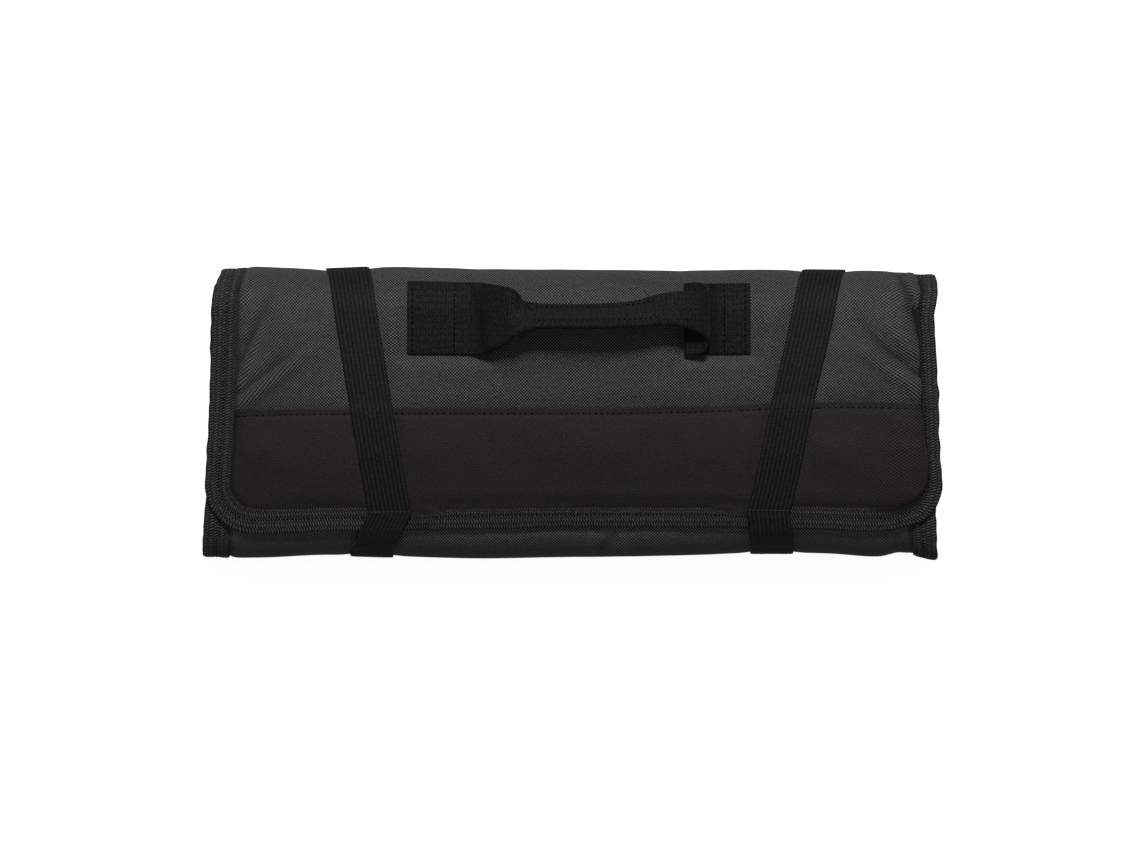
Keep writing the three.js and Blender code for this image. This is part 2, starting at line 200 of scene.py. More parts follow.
halfWall = roll["wall"] / 2
halfHem = hem["wall"] / 2
topZ = roll["height"] - halfWall
floorZ = halfWall
pitch = roll["wall"] + roll["turnGap"]
tapeFace = halfHem + hem["gap"] + hem["tapeWall"]
bandFace = halfHem + hem["gap"] + band["wall"]
strapSeat = halfWall + elastic["gap"]
strapSeatOnBand = bandFace + elastic["gap"]
edgePress = max(0, tapeFace - halfWall) + hem["floorRise"]
strapPress = elastic["wall"] + elastic["gap"]
backZ, backRadius = (topZ + floorZ) / 2, (topZ - floorZ) / 2
backY = roll["halfDepth"] - halfWall - backRadius
frontZ, frontRadius = (topZ - pitch + floorZ) / 2, (topZ - pitch - floorZ) / 2
frontY = frontRadius + halfWall - roll["halfDepth"]
flapEndY = roll["flapOverhang"] - roll["halfDepth"]
flapRise = pitch - halfWall - hem["gap"] - tapeFace
flapEndZ = topZ - flapRise * (1 + max(0, frontY - flapEndY) / roll["flapSlope"])
slopeEndY = flapEndY + roll["flapSlope"]
sewnRun = frontY - flapEndY


def flat(name, y1, z1, y2, z2):
    return {"name": name, "length": abs(y2 - y1), "y1": y1, "z1": z1, "y2": y2, "z2": z2}


def bend(name, y, z, radius):
    return {"name": name, "length": math.pi * radius, "y": y, "z": z, "radius": radius}


# The section of the roll as flats and bends, from the flap's end to the core
sectionParts = [
    flat("slopeEnd", flapEndY, flapEndZ, slopeEndY, topZ),
    flat("backTop", slopeEndY, topZ, backY, topZ),
    bend("backUnder", backY, backZ, backRadius),
    flat("frontUnder", backY, floorZ, frontY, floorZ),
    bend("frontTop", frontY, frontZ, frontRadius),
    flat("innerBackTop", frontY, topZ - pitch, backY, topZ - pitch),
    bend("innerBackUnder", backY, backZ, backRadius - pitch),
    flat("innerFrontUnder", backY, floorZ + pitch, frontY, floorZ + pitch),
    bend("innerFrontTop", frontY, frontZ, frontRadius - pitch),
    flat("coreEnd", frontY, topZ - 2 * pitch, backY, topZ - 2 * pitch),
]
landmark = {"flapEnd": 0.0}
sheetRun, turned = 0.0, 0.0
for part in sectionParts:
    part["start"], part["turn"] = sheetRun, turned
    turned += math.pi if "radius" in part else 0.0
    sheetRun += part["length"]
    landmark[part["name"]] = sheetRun
backTop, backUnder, frontUnder, frontTop = [landmark[part["name"]] for part in sectionParts[1:5]]


@lru_cache(maxsize=None)
def sectionAt(s):
    part = [p for p in sectionParts if p["start"] <= s or p["start"] == 0][-1]
    share = (s - part["start"]) / part["length"]
    if "radius" in part:
        turn = part["turn"] + math.pi * share
        ny, nz = math.sin(turn), math.cos(turn)
        return part["y"] + part["radius"] * ny, part["z"] + part["radius"] * nz, ny, nz
    climb = share if share < 0 else lerp(share, ease(share, 0, 1), 0.5)
    y, z = lerp(part["y1"], part["y2"], share), lerp(part["z1"], part["z2"], climb)
    return y, z, math.sin(part["turn"]), math.cos(part["turn"])


edgeRows = [{**row, "s": landmark[row["from"]] + row["add"]} for row in edgeTable]
backOut = backTop + math.pi * backRadius / 2
strapRows = {
    side: [
        {"s": sewnRun, "x": shares["seam"]},
        {"s": backOut, "x": shares["backTop"]},
        {"s": backUnder, "x": shares["backUnder"]},
        {"s": frontUnder, "x": shares["frontUnder"]},
    ]
    for side, shares in strapTable.items()
}


@lru_cache(maxsize=None)
def leftEdge(s):
    return -roll["halfLength"] * lookUp(edgeRows, "s", s, "left")


@lru_cache(maxsize=None)
def rightEdge(s):
    return roll["halfLength"] * lookUp(edgeRows, "s", s, "right")


# Distance of a point of the sheet from its bound outline
def insetAt(x, s):
    across = min(x - leftEdge(s), rightEdge(s) - x)
    along = min(s, sheetRun - s)
    radius = hem["cornerRadius"]
    if across >= radius or along >= radius:
        return min(across, along)
    return radius - math.hypot(radius - across, radius - along)


@lru_cache(maxsize=None)
def cornerInset(s, margin):
    radius = hem["cornerRadius"] - margin
    along = min(s, sheetRun - s) - margin
    if along >= radius:
        return 0.0
    return radius - math.sqrt(max(0.0, radius * radius - (radius - along) ** 2))


# The straps run straight from one landmark to the next
def strapX(side, s):
    rows = strapRows[side]
    share = rows[0]["x"]
    for a, b in zip(rows, rows[1:]):
        if s > a["s"]:
            share = lerp(a["x"], b["x"], min(1.0, (s - a["s"]) / (b["s"] - a["s"])))
    return roll["halfLength"] * share


def strapDistance(x, s):
    return min(abs(x - strapX(side, s)) for side in strapRows) - elastic["width"] / 2


@lru_cache(maxsize=None)
def floorShare(s):
    before = backUnder - s
    after = s - frontUnder
    return 1 - ease(max(before, after), 0, math.pi * frontRadius / 4)


def pressAt(x, s):
    floor = floorShare(s)
    if floor <= 0:
        return 0.0
    edge = 1 - clamp((insetAt(x, s) - hem["pressFrom"]) / (hem["cornerRadius"] - hem["pressFrom"]))
    strap = 1 - clamp((strapDistance(x, s) - 0.5) / elastic["ramp"])
    return floor * max(edge * edgePress, strap * strapPress)


def shaped(x, y, z):
    along = min(1.0, max(-1.0, x / roll["halfLength"]))
    wave = lookUp(waveTable, "x", along, "back" if y > 0 else "front")
    crown = 1 - roll["crownDrop"] * min(1.0, (y / roll["halfDepth"]) ** 2)
    pinch = 1 - roll["endPinch"] * ease(abs(along), roll["pinchStart"], 1)
    y = y * (1 + wave * min(1.0, abs(y) / roll["halfDepth"]))
    return Vector((x + roll["shiftX"], y + roll["shiftY"], z * crown * pinch + roll["lift"])) / 1000


@lru_cache(maxsize=None)
def riseShares(s):
    end = 1 - ease(s, 0, band["seamRun"] - 12)
    seam = ease(s, 22, band["seamRun"] - 3) * (1 - ease(s, band["seamRun"] + 3, band["seamRun"] + 40))
    return end, seam


# A point of the model, in metres, from x, its run along the sheet and its height over the sheet's middle
def place(x, s, n, pressed=True):
    y, z, ny, nz = sectionAt(s)
    endShare, seamShare = riseShares(s)
    if endShare > 0:
        y += endShare * lookUp(riseTable, "x", x, "end")
    if seamShare > 0:
        y += seamShare * lookUp(riseTable, "x", x, "seam")
    height = n - (pressAt(x, s) if pressed else 0.0)
    return shaped(x, y + ny * height, z + nz * height)


# The padding swells between its seams, gathers where it is stitched, and bulges over its binding
padding = {
    "swell": 1.9,
    "innerSwell": 0.5,
    "edgeFrom": 11.8,  # inset where the swelling begins
    "seamReach": 9,
    "seamHold": 0.3,  # share of the swelling that stays at the band's seam
    "strapReach": 8,
    "padReach": 9,
    "padHold": 0.15,
    "drift": [0.6, 0.3],  # heights of its wide and of its narrow unevenness
    "pucker": 0.3,
    "puckerPitch": 8.5,
    "seamPucker": 0.25,
    "seamPuckerPitch": 7.3,
    "lip": 5.5,  # width of the bulge beside the binding
    "lipRise": 0.4,
    "bend": 0.3,  # share of the swelling that stays where the roll turns
    "flapCalm": 0.42,  # the same at the flap's end, which lies flatter
}
lipTable = table(
    "s left right",
    (0, 0.0, 2.0), (16, 0.0, 4.4), (36, 0.0, 6.6), (55, 0.1, 5.6), (71, 0.3, 4.6), (97, 0.4, 4.8),
    (124, 1.0, 5.2), (150, 1.2, 3.2), (180, 0.5, 0.8),
)
handlePads = [
    {"left": -87.5, "right": -46, "low": 30.5, "high": 69},
    {"left": 59.6, "right": 95, "low": 30.5, "high": 69},
]
simulation = {
    "columns": 84,
    "rows": 40,
    "frames": 22,
    "cap": 7,
    "keep": 0.42,  # share of the blown-up height that stays once the bag lies still
}
clothSettings = {
    "quality": 6,
    "mass": 0.25,
    "tension_stiffness": 12,
    "compression_stiffness": 12,
    "shear_stiffness": 6,
    "bending_stiffness": 0.6,
    "vertex_group_mass": "pin",
    "use_pressure": True,
    "uniform_pressure_force": 5,
    "shrink_min": -0.012,  # the cloth is this much larger than the space between its seams
}
simulated = []


def padDistance(x, y):
    gaps = []
    for pad in handlePads:
        dx = max(pad["left"] - x, x - pad["right"], 0)
        dy = max(pad["low"] - y, y - pad["high"], 0)
        gaps.append(math.hypot(dx, dy))
    return min(gaps)


def foldHeight(x, y):
    total = 0.0
    for fold in foldTable:
        ax, ay = fold["x2"] - fold["x1"], fold["y2"] - fold["y1"]
        length = math.hypot(ax, ay)
        share = ((x - fold["x1"]) * ax + (y - fold["y1"]) * ay) / (length * length)
        if share < -0.4 or share > 1.4:
            continue
        off = ((x - fold["x1"]) * ay - (y - fold["y1"]) * ax) / length
        ends = ease(share, -0.3, 0.2) * (1 - ease(share, 0.5, 1.3))
        total += fold["high"] * ends * bell(off, fold["wide"])
    return total


# Where the roll turns, the padding is drawn tight
@lru_cache(maxsize=None)
def bendShare(s):
    if s < backUnder:
        turned = ease(s, backTop - 14, backOut - 8)
    else:
        turned = ease(s, frontUnder, frontUnder + 12)
    return 1 - (1 - padding["bend"]) * turned


# Height that the simulated cloth reached, between its nearest four points
def simulatedHeight(x, s):
    start, end = sheetX(0, s, hem["tapeWidth"]), sheetX(1, s, hem["tapeWidth"])
    column = (x - start) / (end - start) * simulation["columns"]
    row = (s - hem["tapeWidth"]) / (simulationEnd - hem["tapeWidth"]) * simulation["rows"]
    if not simulated or not 0 < row < simulation["rows"] or not 0 < column < simulation["columns"]:
        return 0.0
    c, r = int(column), int(row)
    near = lerp(simulated[r][c], simulated[r][c + 1], column - c)
    far = lerp(simulated[r + 1][c], simulated[r + 1][c + 1], column - c)
    return lerp(near, far, row - r) * bendShare(s)


def swellAt(x, s):
    inset = insetAt(x, s)
    edge = ease(inset, padding["edgeFrom"], padding["edgeFrom"] + padding["seamReach"])
    inner = ease(s, frontTop - 30, frontTop + 5)
    if inner == 1:
        return padding["innerSwell"] * edge
    y = flapEndY + s
    off = strapDistance(x, s)
    over = s - band["seamRun"]
    padShare = ease(padDistance(x, y), 0, padding["padReach"]) if s < backUnder else 1.0
    strap = ease(off, -1.5, padding["strapReach"])
    seam = lerp(padding["seamHold"], 1, ease(abs(over), 0, padding["seamReach"]))
    height = padding["swell"] * edge * strap * seam * padShare
    held = ease(off, -1, 5) * min(1.0, padding["padHold"] + padShare)
    wide, narrow = uneven(x / 38, s / 30, 3.1), uneven(x / 15, s / 13, 7.7)
    height += (wide * padding["drift"][0] + narrow * padding["drift"][1]) * edge * held
    # Puckers beside the binding, and along the seam of the band
    wander = 2.2 * uneven(s / 21, 1.5, x / 400)
    ripple = math.sin(2 * math.pi * s / padding["puckerPitch"] + wander)
    height += padding["pucker"] * ripple * ease(inset, 12.5, 15) * (1 - ease(inset, 16, 27))
    seamNoise = 3 * uneven(x / 26, 4.2, 0)
    seamRipple = math.sin(2 * math.pi * x / padding["seamPuckerPitch"] + seamNoise)
    height += padding["seamPucker"] * seamRipple * ease(over, -0.5, 1) * (1 - ease(over, 2, 9)) * edge * held
    # Creases of the face, the dent of the front and the bulge beside the binding
    front = 1 - ease(s, backTop + 18, backTop + 40)
    height = height * bendShare(s) + foldHeight(x, y) * front * ease(inset, 12.5, 15.5) * held
    for dent in dentTable if s > frontUnder else []:
        along = s - frontTop - dent["run"]
        height += dent["high"] * bell(x - dent["x"], dent["wideX"]) * bell(along, dent["wideS"])
    beside = ease(inset, 12.5, 14.5) * (1 - ease(inset, 16, 32)) * ease(off, 0, 12)
    height += padding["lipRise"] * lipAt(x, s) * beside
    lifted = 1 - ease(floorShare(s), 0, 0.5)
    return lerp(height * lifted, padding["innerSwell"] * edge, inner)


def lipAt(x, s):
    side = "left" if x < 0 else "right"
    across = min(x - leftEdge(s), rightEdge(s) - x)
    if across > 44 or s > backUnder:
        return 0.0
    return lookUp(lipTable, "s", s, side) * (1 - ease(across, 24, 44))


# How far the padding bulges sideways over the binding, in x, and how much further what covers it does
def lipShift(x, s, cover=0.0):
    inset = insetAt(x, s)
    lip = lipAt(x, s)
    if lip <= 0 or inset > 33:
        return 0.0
    bulge = ease(inset, 12.3, 14.2) * (1 - ease(inset, 15, 15 + 3 * padding["lip"]))
    wander = 1 + 0.2 * uneven(s / 14, 6.1, 0)
    return (lip * wander + min(1.0, lip) * cover) * bulge * (-1 if x < 0 else 1)


# How much light is lost at the binding, in creases and at the band's seam and stitches, what is left on the
# front under the flap, and how much brighter a line of it is
shade = {
    "edge": 0.5,
    "edgeSide": 0.25,  # more of it along the sides than at the flap's end
    "edgeWide": 0.7,
    "edgeWideSide": 0.3,
    "front": 0.78,
    "line": 0.9,
    "lineRun": 6.5,
    "lineWide": 3.5,
    "crease": 0.2,
    "creaseMost": 3.0,
    "seam": 0.45,
    "seamWide": 0.8,
    "stitches": 0.35,
    "stitchWide": 0.7,
}


# Share of the light that reaches a point of the sheet or the band
def lightAt(x, s):
    side = ease(s, 14, 34)
    root = (14.5 if x < 0 else 13.5) - hem["tapeWidth"] * strapPinch(x, s)
    wide = shade["edgeWide"] + shade["edgeWideSide"] * side
    light = 1 - (shade["edge"] + shade["edgeSide"] * side) * bell(insetAt(x, s) - root, wide)
    if s > frontUnder:
        light *= lerp(1, shade["front"], ease(s, frontUnder, frontUnder + 20))
        light *= 1 + shade["line"] * bell(frontTop - shade["lineRun"] - s, shade["lineWide"])
    if s < backTop + 30:
        light *= 1 - shade["crease"] * max(0.0, min(shade["creaseMost"], -foldHeight(x, flapEndY + s)))
    over = s - band["seamRun"]
    light *= 1 - shade["seam"] * bell(over - 1.0, shade["seamWide"])
    return light * (1 - shade["stitches"] * bell(over + panel["stitchInset"], shade["stitchWide"]))


simulationEnd = backUnder - 10


# A coarse cloth over the outer turn, pinned along its seams, straps and handle ends and blown up a little:
# its heights give the padding its pillows and pulls
def simulatePadding():
    columns, rows = simulation["columns"], simulation["rows"]
    bm = bmesh.new()
    bmesh.ops.create_grid(bm, x_segments=columns, y_segments=rows, size=1)
    bm.verts.ensure_lookup_table()
    pinLayer = bm.verts.layers.deform.verify()
    order = {}
    for vert in bm.verts:
        column, row = round((vert.co.x + 1) / 2 * columns), round((vert.co.y + 1) / 2 * rows)
        s = lerp(hem["tapeWidth"], simulationEnd, row / rows)
        x = sheetX(column / columns, s, hem["tapeWidth"])
        held = column in (0, columns) or row in (0, rows)
        held = held or strapDistance(x, s) < 1 or padDistance(x, flapEndY + s) < 2
        held = held or abs(s - band["seamRun"]) < 2.4
        vert[pinLayer][0] = 1.0 if held else 0.0
        vert.co = (x / 1000, s / 1000, 0)
        order[vert.index] = (column, row)
    mesh = bpy.data.meshes.new("paddingCage")
    bm.to_mesh(mesh)
    bm.free()
    cage = bpy.data.objects.new("paddingCage", mesh)
    bpy.context.scene.collection.objects.link(cage)
    cage.vertex_groups.new(name="pin")
    cloth = addModifier(cage, "CLOTH")
    for key, value in clothSettings.items():
        setattr(cloth.settings, key, value)
    cloth.settings.effector_weights.gravity = 0
    cloth.collision_settings.use_collision = False
    cloth.point_cache.frame_end = simulation["frames"]
    for step in range(1, simulation["frames"] + 1):
        bpy.context.scene.frame_set(step)
    shape = cage.evaluated_get(bpy.context.evaluated_depsgraph_get())
    heights = [[0.0] * (columns + 1) for _ in range(rows + 1)]
    for index, (column, row) in order.items():
        risen = shape.data.vertices[index].co.z * 1000
        heights[row][column] = simulation["keep"] * max(-simulation["cap"], min(simulation["cap"], risen))
    bpy.context.scene.frame_set(1)
    bpy.data.objects.remove(cage)
    bpy.data.meshes.remove(mesh)
    return heights


# Makes a strip of cloth from a grid: each point's place, its place on the flat cloth in metres, its wall's
# share and the share of the light that reaches it
def clothGrid(columns, rows, put, flatPlace, wallShare=None, lightShare=None):
    bm = bmesh.new()
    bmesh.ops.create_grid(bm, x_segments=columns, y_segments=rows, size=1)
    flatLayer = bm.loops.layers.uv.new("cloth")
    wallLayer = bm.verts.layers.deform.verify() if wallShare else None
    lightLayer = bm.verts.layers.float.new("light")
    numbers = {v: (round((v.co.x + 1) / 2 * columns), round((v.co.y + 1) / 2 * rows)) for v in bm.verts}
    for face in bm.faces:
        for loop in face.loops:
            loop[flatLayer].uv = flatPlace(*numbers[loop.vert])
    for vert, (column, row) in numbers.items():
        if wallShare:
            vert[wallLayer][0] = wallShare(column, row)
        vert[lightLayer] = lightShare(column, row) if lightShare else 1.0
        vert.co = put(column, row)
    return bm


def finishPiece(name, bm, nodes=(), withWall=False):
    mesh = bpy.data.meshes.new(name)
    bm.to_mesh(mesh)
    bm.free()
    mesh.shade_smooth()
    piece = bpy.data.objects.new(name, mesh)
    bpy.context.scene.collection.objects.link(piece)
    if withWall:
        piece.vertex_groups.new(name="wall")
    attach(piece, "root")
    if nodes:
        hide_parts(*nodes)
    return piece


def addModifier(piece, kind, **settings):
    modifier = piece.modifiers.new(kind.lower(), kind)
    for key, value in settings.items():
        setattr(modifier, key, value)
    return modifier


def addWall(piece, thickness, **settings):
    addModifier(piece, "SOLIDIFY", thickness=thickness / 1000, offset=0, use_even_offset=False, **settings)


def spread(start, end, step):
    count = max(1, round((end - start) / step))
    return [lerp(start, end, i / count) for i in range(count)]


# Roll sheet: fine rows where it shows, coarse ones inside the roll
sheetGrid = {
    "fine": 1.5,
    "back": 2.4,
    "front": 2.1,
    "bend": 3.2,
    "flat": 12,
    "zone": 45,
    "zoneStep": 1.25,
    "middleStep": 2.05,
}
sheetMargin = hem["tapeWall"] + hem["slack"]


# Columns stand closer together beside both ends of the roll
def columnShares():
    length = 2 * roll["halfLength"]
    zone = sheetGrid["zone"] / length
    shares = spread(0, zone, sheetGrid["zoneStep"] / length)
    shares += spread(zone, 1 - zone, sheetGrid["middleStep"] / length)
    return shares + spread(1 - zone, 1, sheetGrid["zoneStep"] / length) + [1.0]


crossShares = columnShares()


def sheetX(share, s, margin):
    drawn = cornerInset(s, margin)
    return lerp(leftEdge(s) + margin + drawn, rightEdge(s) - margin - drawn, share)


# The flap lies flatter towards its end
def faceSwell(x, s):
    calm = lerp(padding["flapCalm"], 1, ease(s, 12, 52))
    return calm * (swellAt(x, s) + simulatedHeight(x, s))


def wallAt(x, s):
    full = ease(insetAt(x, s), hem["shoulderFrom"], hem["shoulderFrom"] + hem["shoulder"])
    return lerp(hem["wall"], roll["wall"], full)


# Grid of a cloth that follows the sheet from side to side; cover is how much further it bulges over the tape
def clothOnSheet(rows, margin, pointAt, cover=0.0, wallShare=None):
    def at(column, row):
        return sheetX(crossShares[column], rows[row], margin), rows[row]

    def put(column, row):
        x, s = at(column, row)
        point = pointAt(x, s)
        point.x += lipShift(x, s, cover) / 1000
        return point

    def flatPlace(column, row):
        return [value / 1000 for value in at(column, row)]

    def onGrid(share):
        return (lambda column, row: share(*at(column, row))) if share else None

    counts = len(crossShares) - 1, len(rows) - 1
    return clothGrid(*counts, put, flatPlace, onGrid(wallShare), onGrid(lightAt))


def buildRollSheet():
    zones = [
        (sheetMargin, "fine"),
        (backTop + 12, "back"),
        (backUnder, "flat"),
        (frontUnder, "front"),
        (frontTop + 16, "flat"),
        (landmark["innerBackTop"], "bend"),
        (landmark["innerBackUnder"], "flat"),
        (landmark["innerFrontUnder"], "bend"),
        (landmark["innerFrontTop"], "flat"),
        (sheetRun - 30, "bend"),
        (sheetRun - sheetMargin, None),
    ]
    rows = []
    for (start, step), (end, _) in zip(zones, zones[1:]):
        rows += spread(start, end, sheetGrid[step])
    rows.append(zones[-1][0])

    def pointAt(x, s):
        return place(x, s, faceSwell(x, s))

    def wallShare(x, s):
        return wallAt(x, s) / roll["wall"]

    bm = clothOnSheet(rows, sheetMargin, pointAt, wallShare=wallShare)
    piece = finishPiece("rollSheet", bm, ["roll_sheet"], withWall=True)
    addWall(piece, roll["wall"], vertex_group="wall")
    return piece


# Black band on the flap, turned under at its top edge, where it is stitched down
panel = {
    "cloth": 0.35,
    "loft": 0.2,
    "turnedUnder": 6,
    "stitchInset": 2.2,
    "stitchDip": [0.34, 0.1],
    "dipPitch": 3.1,
    "tuck": 7,
    "edgeRun": 0.6,
    "cover": 0.5,
    "step": 2.1,
    "seamStep": 0.7,
}


def bandPoint(x, s, extra=0.0):
    seam, turn = band["seamRun"], panel["turnedUnder"]
    edgeWave = 0.4 * uneven(x / 19, 8.8, 0) * ease(s, seam - 8, seam)
    lift = panel["cloth"] * ease(s, seam - turn - 1, seam - turn + 1)
    dip, ripple = panel["stitchDip"]
    deep = dip + ripple * math.cos(2 * math.pi * x / panel["dipPitch"])
    lift -= deep * bell(s - seam + panel["stitchInset"], 1)
    low = ease(insetAt(x, s), 11, 16)
    return place(x, s + edgeWave, wallAt(x, s) / 2 + 0.15 + 0.35 * low + faceSwell(x, s) + lift + extra)


def buildFlapBand():
    margin = hem["tapeWidth"] - panel["tuck"]
    turn, top = band["seamRun"] - panel["turnedUnder"], band["seamRun"] + panel["edgeRun"]
    rows = spread(margin, turn, panel["step"]) + spread(turn, top, panel["seamStep"]) + [top]
    bm = clothOnSheet(rows, margin, bandPoint, panel["cover"])
    piece = finishPiece("flapBand", bm, ["flap_band"])
    addWall(piece, panel["cloth"] + panel["loft"])
    return piece


# Thread shows as short rounded stitches; a size gives length, width and height
thread = {
    "seam": (2.3, 0.95, 0.4),
    "tape": (1.5, 0.7, 0.4),
    "pad": (1.8, 1.0, 0.5),
    "grip": (1.9, 0.7, 0.4),
    "end": (5.5, 0.3, 0.3),
    "seamStep": 3.1,
    "padStep": 2.9,
    "lift": 0.15,
}


def addStitch(bm, point, along, up, kind):
    ahead = along.normalized()
    side = up.cross(ahead).normalized()
    turned = Matrix((ahead, side, ahead.cross(side))).transposed().to_4x4()
    size = [value / 2000 for value in thread[kind]]
    where = Matrix.Translation(point) @ turned @ Matrix.Diagonal((*size, 1))
    bmesh.ops.create_uvsphere(bm, u_segments=6, v_segments=4, radius=1, matrix=where)


def buildSeamStitches():
    bm = bmesh.new()
    s = band["seamRun"] - panel["stitchInset"]
    for x in spread(leftEdge(s) + 16, rightEdge(s) - 18, thread["seamStep"]):
        if strapDistance(x, s) < 0.5:
            continue
        point, ahead = bandPoint(x, s, 0.3), bandPoint(x + 1, s, 0.3)
        shift = lipShift(x, s, panel["cover"]) / 1000
        addStitch(bm, point + Vector((shift, 0, 0)), ahead - point, Vector((0, 0, 1)), "seam")
    return finishPiece("seamStitches", bm)


# Binding tape: folded over the sheet's edge all the way round
tape = {
    "step": 2.2,
    "coreStep": 6,
    "cloth": 0.8,
    "middle": 1.35,
    "wave": 0.7,
    "foldWave": 0.7,
    "leftMore": 0.8,  # how much wider it shows at the left end
    "bulge": 0.6,
    "stitchColumn": 4,
    "pinch": 0.42,  # share of its width that the bag bulges over beside a strap
    "pinchReach": 36,
    "slim": 0.16,  # how much less of it shows between the straps
    "cornerSteps": 14,
    "hidden": 0.88,  # light lost where the padding covers it, on its stitches and beside a strap
    "stitched": [0.34, 0.1],
    "pinched": 0.9,
}
tapeSection = table(
    "inset n",
    (12.5, 0.92), (11.6, 1.03), (9.4, 1.1), (7.6, 1.02), (6.9, 0.9), (6.2, 1.02), (4.8, 1.12),
    (3.2, 1.08), (1.6, 0.98), (0.6, 0.72), (0.1, 0.38), (0.0, 0.0),
)


# Each station gives the place in x and s at a given inset from the outline
def tapeStations():
    radius = hem["cornerRadius"]

    def edgeX(side, s, inset):
        return leftEdge(s) + inset if side == "left" else rightEdge(s) - inset

    def endRun(end, inset):
        return inset if end == "flap" else sheetRun - inset

    def sideStation(side, s):
        return lambda inset: (edgeX(side, s, inset), s)

    def endStation(end, x):
        return lambda inset: (x, endRun(end, inset))

    def cornerStation(side, end, angle):
        def at(inset):
            reach = radius - inset
            s = endRun(end, radius - reach * math.sin(angle))
            return edgeX(side, s, radius - reach * math.cos(angle)), s

        return at

    sweep = [math.pi / 2 * i / tape["cornerSteps"] for i in range(1, tape["cornerSteps"])]
    runs = spread(radius, sheetRun - radius, tape["step"]) + [sheetRun - radius]
    flapXs = spread(leftEdge(0) + radius, rightEdge(0) - radius, tape["step"]) + [rightEdge(0) - radius]
    coreXs = spread(leftEdge(sheetRun) + radius, rightEdge(sheetRun) - radius, tape["coreStep"])
    stations = [sideStation("left", s) for s in reversed(runs)]
    stations += [cornerStation("left", "flap", angle) for angle in sweep]
    stations += [endStation("flap", x) for x in flapXs]
    stations += [cornerStation("right", "flap", angle) for angle in reversed(sweep)]
    stations += [sideStation("right", s) for s in runs]
    stations += [cornerStation("right", "core", angle) for angle in sweep]
    stations += [endStation("core", x) for x in reversed(coreXs[1:])]
    stations += [cornerStation("left", "core", angle) for angle in reversed(sweep)]
    return stations


# The straps draw the padding over the tape on their inner sides
def strapPinch(x, s):
    if s > hem["cornerRadius"]:
        return 0.0
    pull = 0.0
    for side, inner in (("left", 1), ("right", -1)):
        off = (x - strapX(side, 0)) * inner - elastic["width"] / 2
        pull = max(pull, ease(off, -20, -2) * (1 - ease(off, 0, tape["pinchReach"])))
    between = ease(x - strapX("left", 0), -8, 8) * ease(strapX("right", 0) - x, -8, 8)
    return max(tape["pinch"] * pull, tape["slim"] * between)


def buildEdgeBinding():
    stations = tapeStations()
    across = tapeSection + [{"inset": row["inset"], "n": -row["n"]} for row in reversed(tapeSection[:-1])]
    spine = [place(*at(6), 0) for at in stations]
    travel = [0.0]
    for a, b in zip(spine, spine[1:] + spine[:1]):
        travel.append(travel[-1] + (b - a).length)

    def put(column, row, extra=0.0):
        part = across[column]
        row = row % len(stations)
        d = travel[row] * 1000
        waver = 0.8 * uneven(d / 9, 2.0, 0.0) + uneven(d / 31, 5.0, 0.0)
        more = tape["leftMore"] * ease(-stations[row](0)[0], 150, 180)
        inset = part["inset"] + (tape["wave"] * waver + more) * ease(part["inset"], 6, 12.5)
        crimp = uneven(d / 7, 9.0, 0.0) + 0.7 * uneven(d / 24, 3.3, 0.0)
        inset += tape["foldWave"] * crimp * (1 - ease(part["inset"], 0, 6))
        x, s = stations[row](inset)
        if part["n"] > 0:
            x, s = stations[row](inset * (1 - strapPinch(x, s) * ease(part["inset"], 4, 12)))
        lift = tape["bulge"] * uneven(d / 12, 0.0, part["inset"] / 8)
        n = part["n"] * tape["middle"]
        if part["n"] > 0:
            n += max(-0.1, lift) * (1 - floorShare(s)) * min(1.0, part["n"])
        return place(x, s, n + extra)

    def flatPlace(column, row):
        return travel[row], across[column]["inset"] / 1000

    def lightShare(column, row):
        part = across[column]
        outer = part["n"] > 0
        x, s = stations[row % len(stations)](part["inset"])
        bulge = lipAt(x, s)
        hidden = ease(part["inset"], 11.4 - bulge, 13.6 - bulge) if outer else 0.0
        shaded = tape["hidden"] if column == 0 else min(tape["hidden"], 0.4 + bulge / 6) * hidden
        stitched = lerp(*tape["stitched"], ease(s, 20, 40)) if column == tape["stitchColumn"] else 0.0
        pinched = tape["pinched"] * max(0.0, strapPinch(x, s) - tape["slim"]) if outer else 0.0
        return (1 - shaded) * (1 - stitched) * (1 - pinched)

    bm = clothGrid(len(across) - 1, len(stations), put, flatPlace, None, lightShare)
    bmesh.ops.remove_doubles(bm, verts=bm.verts, dist=1e-6)
    piece = finishPiece("edgeBinding", bm, ["edge_binding"])
    addWall(piece, tape["cloth"])
    stitches = bmesh.new()
    for row, at in enumerate(stations):
        x, s = at(tape["middle"])
        if s > frontTop + 12 or strapDistance(x, s) < 0.5:
            continue
        column, face = tape["stitchColumn"], tape["cloth"] / 2
        point, above = put(column, row, face + thread["lift"]), put(column, row, face + 1)
        addStitch(stitches, point, put(column, row + 1) - put(column, row), above - point, "tape")
    return piece, finishPiece("bindingStitches", stitches)


# Elastic straps, sewn to the flap across one line and drawn round the roll to it again
rib = {"count": 10, "columns": 4, "height": 0.08}
bridge = {
    "shares": [0.12, 0.24, 0.36, 0.48, 0.6, 0.72, 0.84, 0.94],
    "overTape": [0.2, 1.6, 3.2, 5.0, 7.0, 8.6, 9.4, 10.2],
    "end": -0.8,  # run where the free stretch meets the flap
    "slant": 0.54,  # share of its way sideways that the free stretch takes
    "bow": 0.9,
    "flatRibs": 0.25,
    # painted light: how much lighter the strap is painted where it faces away from the key light
    "paintedLight": 0.45,
}


